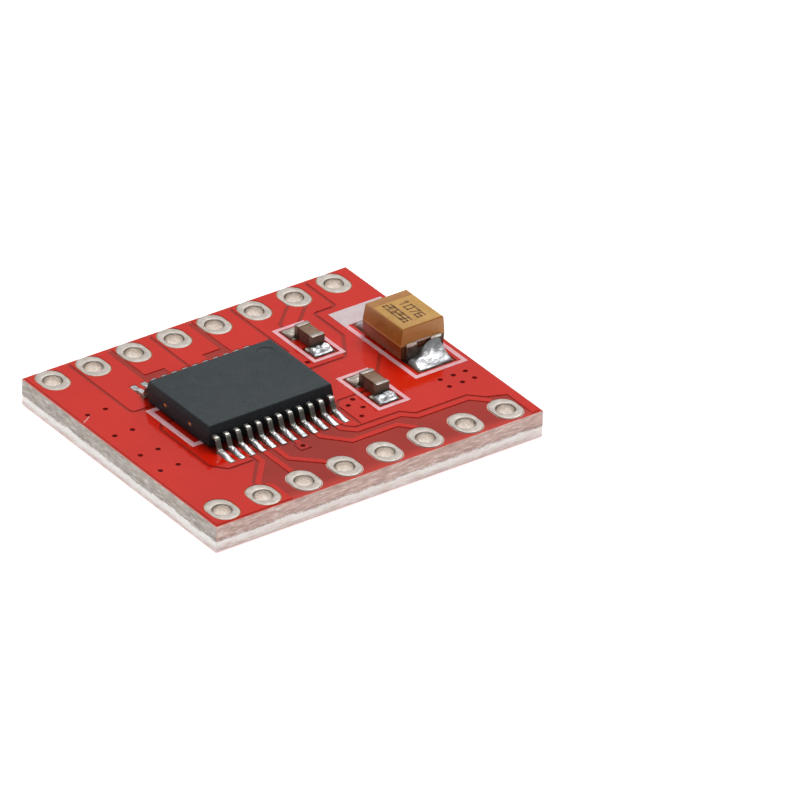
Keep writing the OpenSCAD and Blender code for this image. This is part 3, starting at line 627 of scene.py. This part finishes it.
def header_pad(index, x, y):
    """One plated hole: a pad on each face, rounded mouths, and the barrel between them."""
    count, mouth, wall = 72, 0.07, 0.03
    core_top, core_foot = 1.545, 0.055
    angles = [2 * math.pi * k / count for k in range(count)]
    rings = []

    def round_ring(r, z):
        """A circle of points."""
        rings.append([(x + r * math.cos(a), y + r * math.sin(a), z) for a in angles])

    def pad_ring(share, z):
        """Points at a share of the way from the bore to the pad's outline."""
        row = []
        for a in angles:
            ox, oy = stadium_point(a, PAD_W, PAD_L)
            ix, iy = BORE_R * math.cos(a), BORE_R * math.sin(a)
            row.append((x + ix + (ox - ix) * share, y + iy + (oy - iy) * share, z))
        rings.append(row)

    pad_ring(1.0, core_top)
    for share, rise in [(1.0, -0.022), (0.975, -0.008), (0.93, 0.0), (0.78, 0.004),
                        (0.55, 0.005), (0.34, 0.004)]:
        pad_ring(share, BOARD_TOP + rise)
    for k in range(5):
        a = math.pi / 2 * k / 4
        round_ring(BORE_R + mouth * (1 - math.sin(a)), BOARD_TOP - mouth * (1 - math.cos(a)))
    for z in (1.2, 0.8, 0.4):
        round_ring(BORE_R + 0.004 * math.sin(7 * z + index), z)
    for k in range(5):
        a = math.pi / 2 * (4 - k) / 4
        round_ring(BORE_R + mouth * (1 - math.sin(a)), mouth * (1 - math.cos(a)))
    for share, z in [(0.34, 0.0), (0.93, 0.0), (1.0, 0.012), (1.0, core_foot)]:
        pad_ring(share, z)
    # The barrel's outer wall, inside the board, closes the shape
    round_ring(BORE_R + wall, core_foot)
    round_ring(BORE_R + wall, core_top)
    rings.append(rings[0])
    points = [p for row in rings for p in row]
    add_mesh("header_pad_%02d" % index, points, strip_faces(len(rings), count), PAD,
             ["plated_hole_%02d" % index])


for n, (hx, hy) in enumerate(HEADERS):
    header_pad(n + 1, hx, hy)

# Chip, capacitors
softened("chip_moulding", "chip_body", 0.035, 2, BLACK)
for n in range(1, 2 * len(LEADS_X) + 1):
    softened("gull_lead_%02d" % n, "chip_lead_%02d" % n, 0.045, 3, LEAD)
for where in ("front", "rear"):
    softened(where + "_ceramic_block", where + "_ceramic_body", 0.03, 2, CERAMIC)
    softened(where + "_ceramic_ends", where + "_ceramic_caps", 0.014, 2, CAP)
tantalum = softened("tantalum_moulding", "tantalum_body", 0.025, 2, OCHRE)
# Its top is a hair lower, to leave room for the printed digits, and its left side leans
# in a little more over the parting line
top_edge, leaning_from = 3.49 * MM, 2.62 * MM
for v in tantalum.data.vertices:
    if v.co.z > top_edge:
        v.co.z -= 0.006 * MM
    if v.co.z > leaning_from and v.co.x < TANTALUM[0] * MM:
        v.co.x += 0.10 * (v.co.z - leaning_from)
for sign in ("positive", "negative"):
    softened(sign + "_strap", sign + "_terminal", 0.03, 2, STRAP)


# Solder
# Each joint's surface starts this far under the pad's top
SUNK = 0.004


def mound(name, sections, replaced=()):
    """A lofted blob of solder. Each section is (x, y, half width, height)."""
    across, roundness = 14, 2.2
    base = BOARD_TOP - SUNK
    points = []
    for x, y, half, height in sections:
        for k in range(across + 1):
            t = -1 + 2 * k / across
            z = base + height * (max(1 - abs(t) ** roundness, 0)) ** (1 / roundness)
            points.append((x + half * t, y, z))
        points.append((x + half, y, base - 0.02))
        points.append((x - half, y, base - 0.02))
    faces = strip_faces(len(sections), across + 3, closed_ends=True)
    return add_mesh(name, points, faces, SOLDER, replaced)


def chip_solder():
    """On each chip pad: solder up the heel, along the foot's sides and past the toe."""
    # Distance from the chip's middle, half width, height
    profile = [
        (3.235, 0.13, 0.012), (3.28, 0.15, 0.03), (3.33, 0.155, 0.07), (3.39, 0.16, 0.13),
        (3.45, 0.165, 0.19), (3.52, 0.17, 0.18), (3.62, 0.17, 0.17), (3.74, 0.17, 0.175),
        (3.84, 0.17, 0.165), (3.94, 0.17, 0.13), (4.08, 0.17, 0.09), (4.24, 0.168, 0.06),
        (4.40, 0.16, 0.04), (4.50, 0.14, 0.022), (4.52, 0.12, 0.008)]
    # The rear joints' toes are thinner
    toe_from, thin_toe = 4.2, 0.35
    number = 0
    for side in (-1, 1):
        for x in LEADS_X:
            number += 1
            sections = []
            for j, (s, half, h) in enumerate(profile):
                if side > 0 and s > toe_from:
                    h *= thin_toe
                ripple = 1 + 0.10 * math.sin(2.1 * j + 1.7 * number)
                shift = 0.008 * math.sin(1.3 * j + 2.3 * number)
                sections.append((x + shift, CHIP[1] + side * s, half, h * ripple))
            replaced = ["solder_joints"] if number == 1 else []
            mound("lead_solder_%02d" % number, sections, replaced)


def blob(name, x0, x1, y0, y1, height, corner=0.12, counts=(22, 26), edge=0.10, made=SOLDER):
    """Solder over a pad, from the part's face at y0 to the pad's end at y1.

    height gives millimetres for a share across and along. corner rounds the outline, and
    edge the rim.
    """
    nu, nv = counts
    points = []
    half = (x1 - x0) / 2
    length = abs(y1 - y0)
    for j in range(nv + 1):
        v = j / nv
        # Narrower towards both ends, so that the outline's corners are round
        near = max(0.0, 1 - min(v, 1 - v) * length / corner)
        shrink = corner * (1 - math.sqrt(1 - near * near)) / half
        for i in range(nu + 1):
            u = i / nu
            x = (x0 + x1) / 2 + (2 * u - 1) * half * (1 - shrink)
            y = y0 + (y1 - y0) * v
            rim = min(min(u, 1 - u) * 2 * half, (1 - v) * length)
            rim = min(1.0, rim / edge)
            rise = math.sqrt(max(0.0, 1 - (1 - rim) ** 2))
            points.append((x, y, BOARD_TOP - SUNK + height(u, v) * rise))
    width = nu + 1
    border = ([i for i in range(width)]
              + [j * width + nu for j in range(1, nv + 1)]
              + [nv * width + i for i in range(nu - 1, -1, -1)]
              + [j * width for j in range(nv - 1, 0, -1)])
    faces = [(j * width + i, j * width + i + 1, (j + 1) * width + i + 1, (j + 1) * width + i)
             for j in range(nv) for i in range(nu)]
    first = len(points)
    for b in border:
        points.append((points[b][0], points[b][1], BOARD_TOP - 0.03))
    count = len(border)
    for k in range(count):
        n = (k + 1) % count
        faces.append((border[k], border[n], first + n, first + k))
    faces.append(tuple(first + k for k in range(count)))
    return add_mesh(name, points, faces, made)


def ceramic_solder():
    """A joint on each ceramic capacitor's pad, and a coat under its cap."""
    # The pads' half width, and their reach from the middle; the same for the body's ends
    half, reach, body_reach = 0.61, 1.56, 0.79
    for n, (x, y) in enumerate(CERAMIC_PADS):
        for side in (-1, 1):
            face = y - CERAMIC_SLIP + side * body_reach
            end = y + side * reach
            phase = 1.3 * n + 0.9 * side

            def height(u, v, phase=phase, side=side):
                lump = 0.035 * math.sin(9 * u + 2 * phase) * math.sin(7 * v + phase)
                lump += 0.02 * math.sin(17 * u + phase) * math.cos(13 * v - phase)
                climb = 0.12 * max(0.0, 1 - 3.2 * v) * (1 - (2 * u - 1) ** 4)
                body = (0.15 if side < 0 else 0.10) * math.sin(math.pi * min(1, v + 0.18))
                return 0.05 + body + climb + lump * (1 - v * 0.5)

            which = "%s_%s" % (("front", "rear")[n], "front" if side < 0 else "rear")
            blob("ceramic_solder_" + which, x - half, x + half, face, end, height,
                 made=SOLDER if side < 0 else DULL_SOLDER)
            # Under the part, the pad's inner end keeps a thin coat
            inner = y + side * 0.5
            blob("ceramic_coat_" + which, x - half, x + half, face, inner,
                 lambda u, v: 0.035, counts=(8, 8), edge=0.05, made=DULL_SOLDER)


def tantalum_solder():
    """A joint on each tantalum pad, climbing its terminal towards one side."""
    # The pads' half width, and their reach from the middle; the same for the terminals
    half, reach, terminal_reach = 1.08, 2.9, 1.80
    for side in (-1, 1):
        face = TANTALUM[1] + side * terminal_reach
        end = TANTALUM_PADS[1] + side * reach

        def height(u, v, side=side):
            right = u if side < 0 else 1 - u
            share = min(1.0, max(0.0, (right - 0.02) / 0.8))
            share = share * share * (3 - 2 * share)
            climb = (0.02 + 0.74 * share) * (1 - v) ** 2.1
            swell = 0.13 * math.sin(math.pi * min(1.0, v + 0.05)) ** 1.2
            fold = 0.045 * math.sin(6.5 * v + 6.0 * (1 - right) + 0.6) * (1 - 0.5 * v)
            lump = 0.03 * math.sin(15 * u + 3 * v) * math.sin(11 * v + 2 * u) * (1 - v)
            return 0.08 + climb + swell + fold + lump

        blob("tantalum_solder_%s" % ("front" if side < 0 else "rear"),
             TANTALUM_PADS[0] - half, TANTALUM_PADS[0] + half, face, end, height,
             corner=0.2, counts=(36, 34), edge=0.16)


chip_solder()
ceramic_solder()
tantalum_solder()


# Printed digits
# Each digit is drawn as strokes on a grid 2 wide and 4 high
STROKES = {
    "0": [((0, 0), (2, 0)), ((2, 0), (2, 4)), ((2, 4), (0, 4)), ((0, 4), (0, 0))],
    "1": [((1, 0), (1, 4)), ((0.3, 3.3), (1, 4))],
    "2": [((0, 4), (2, 4)), ((2, 4), (2, 2)), ((2, 2), (0, 2)), ((0, 2), (0, 0)), ((0, 0), (2, 0))],
    "5": [((2, 4), (0, 4)), ((0, 4), (0, 2)), ((0, 2), (2, 2)), ((2, 2), (2, 0)), ((2, 0), (0, 0))],
    "6": [((2, 4), (0, 4)), ((0, 4), (0, 0)), ((0, 0), (2, 0)), ((2, 0), (2, 2)), ((2, 2), (0, 2))],
    "7": [((0, 4), (2, 4)), ((2, 4), (0.8, 0))],
}


def digit_row(name, digits, centre_x, centre_y, length, height):
    """Digits on the tantalum's top. They run towards -Y, and stand towards +X."""
    step = length / len(digits)
    wide = step * 0.34
    line, foot, top = 0.09, 3.486, 3.5
    points, faces = [], []
    for k, digit in enumerate(digits):
        start = centre_y + length / 2 - step * (k + 0.16)
        for ends in STROKES[digit]:
            p, q = (Vector((centre_x - height / 2 + up / 4 * height, start - over * wide))
                    for over, up in ends)
            along = (q - p).normalized() * line / 2
            out = Vector((-along.y, along.x))
            first = len(points)
            corners = (p - along - out, q + along - out, q + along + out, p - along + out)
            points += [(c.x, c.y, z) for z in (foot, top) for c in corners]
            faces += [tuple(first + v for v in f) for f in
                      ((0, 1, 2, 3), (4, 5, 6, 7), (0, 1, 5, 4), (1, 2, 6, 5), (2, 3, 7, 6),
                       (3, 0, 4, 7))]
    add_mesh(name, points, faces, DARK_MARK, smooth=False)


digit_row("digits_upper", "1076", TANTALUM[0] + 0.39, 0.63, 1.85, 0.48)
digit_row("digits_lower", "20256", TANTALUM[0] - 0.50, 0.70, 2.0, 0.48)


# Mask in the vias
def via_plugs():
    """Each via is closed by a dish of mask just under the surface."""
    # Each ring's radius, and its height over the barrel's rim
    count, rings = 16, [(0.139, -0.004), (0.12, -0.028), (0.08, -0.045), (0.04, -0.052)]
    deepest, rim = -0.054, BOARD_TOP - 0.02
    points, faces = [], []
    for vx, vy in VIAS:
        first = len(points)
        for r, dz in rings:
            for k in range(count):
                a = 2 * math.pi * k / count
                points.append((vx + r * math.cos(a), vy + r * math.sin(a), rim + dz))
        points.append((vx, vy, rim + deepest))
        faces += [tuple(first + v for v in f) for f in strip_faces(len(rings), count)]
        last = first + (len(rings) - 1) * count
        for k in range(count):
            faces.append((last + k, last + (k + 1) % count, first + len(rings) * count))
    add_mesh("mask_plugs", points, faces, VIA)


# In the ground area on the left, round the lanes by the chip, before the tantalum, alone
VIAS = [(x, CHIP[1] + dy) for x in (-9.35, -8.25) for dy in (-3.15, -1.35, 0.95, 3.4)]
VIAS += [(1.68 + dx, PADS_FRONT + dy) for dx, dy in
         [(0.62, 0.05), (0.65, 1.28), (1.19, 0.73), (1.19, 1.65), (1.4, 5.97)]]
VIAS += [(TANTALUM_PADS[0] + dx, y) for dx in (-0.66, 0.17, 0.94) for y in (-4.25, -3.43)]
VIAS.append(LONE_VIA)
via_plugs()


# Camera, lights, floor
# The camera was fitted to the 16 header holes in the photograph, with the spacing of
# their rows set to 15.24 mm
CAMERA_AT = (-0.298557, -0.414947, 0.309763)
RIGHT = (0.81184607, -0.58349036, 0.02109404)
UP = (0.28684365, 0.43004978, 0.85602448)
BACK = (-0.50855352, -0.68890941, 0.51650473)
camera_data = bpy.data.cameras.new("camera")
camera_data.sensor_width = 36.0
camera_data.lens = 521.86
camera_data.clip_start = 0.01
camera_data.clip_end = 10.0
camera = bpy.data.objects.new("camera", camera_data)
turn = Matrix((RIGHT, UP, BACK)).transposed().to_4x4()
camera.matrix_world = Matrix.Translation(CAMERA_AT) @ turn
bpy.context.scene.collection.objects.link(camera)
bpy.context.scene.camera = camera


def area_light(name, at, size, power):
    """A round white lamp that faces the board's middle."""
    data = bpy.data.lights.new(name, "AREA")
    data.shape = "DISK"
    data.size = size
    data.energy = power
    lamp = bpy.data.objects.new(name, data)
    lamp.location = at
    lamp.rotation_euler = (-Vector(at)).to_track_quat("-Z", "Y").to_euler()
    bpy.context.scene.collection.objects.link(lamp)


area_light("key", (0.16, 0.10, 0.34), 0.22, 0.8)
area_light("back_fill", (-0.10, 0.34, 0.20), 0.26, 0.3)
area_light("front_fill", (-0.26, -0.30, 0.22), 0.30, 0.35)

def studio_world():
    """White behind the part, and a softer room round it for light and gloss."""
    world = bpy.data.worlds.new("studio")
    bpy.context.scene.world = world
    world.use_nodes = True
    g = Graph(world.node_tree)
    # The room is brighter behind and to the right, where the mask's gloss looks
    toward = g.add("ShaderNodeVectorMath", operation="DOT_PRODUCT")
    g.feed(toward.inputs[0], g.add("ShaderNodeTexCoord").outputs["Generated"])
    g.feed(toward.inputs[1], (0.509, 0.689, 0.516))
    room = g.between(g.ramp(toward.outputs["Value"], 0.1, 0.85), 0.2, 0.5)
    mixed = g.add("ShaderNodeMixShader")
    g.feed(mixed.inputs[0], g.add("ShaderNodeLightPath").outputs["Is Camera Ray"])
    for socket, strength in ((mixed.inputs[1], room), (mixed.inputs[2], 1.0)):
        light = g.add("ShaderNodeBackground")
        g.feed(light.inputs["Color"], (1, 1, 1, 1))
        g.feed(light.inputs["Strength"], strength)
        g.feed(socket, light.outputs[0])
    g.feed(g.add("ShaderNodeOutputWorld").inputs["Surface"], mixed.outputs[0])


def white_floor():
    """A floor as bright as the background, which gives off light of its own."""
    half, under = 2.0, 0.00002
    mesh = bpy.data.meshes.new("floor")
    mesh.from_pydata([(-half, -half, 0), (half, -half, 0), (half, half, 0), (-half, half, 0)],
                     [], [(0, 1, 2, 3)])
    floor = bpy.data.objects.new("floor", mesh)
    floor.location = (0, 0, -under)
    bpy.context.scene.collection.objects.link(floor)
    made, g = material("white_floor")
    rays = g.add("ShaderNodeLightPath").outputs
    seen = g.math("MAXIMUM", rays["Is Camera Ray"], rays["Is Glossy Ray"])
    seen = g.math("MAXIMUM", seen, rays["Is Transmission Ray"])
    matt = g.add("ShaderNodeBsdfDiffuse")
    g.feed(matt.inputs["Color"], (0.8, 0.8, 0.8, 1))
    glow = g.add("ShaderNodeEmission")
    g.feed(glow.inputs["Color"], (1, 1, 1, 1))
    g.feed(glow.inputs["Strength"], g.between(seen, 0.6, 0.8))
    both = g.add("ShaderNodeAddShader")
    g.feed(both.inputs[0], matt.outputs[0])
    g.feed(both.inputs[1], glow.outputs[0])
    g.feed(g.add("ShaderNodeOutputMaterial").inputs["Surface"], both.outputs[0])
    paint(floor, made)


studio_world()
white_floor()

bpy.context.scene.view_settings.view_transform = "Standard"

bpy.context.view_layer.update()
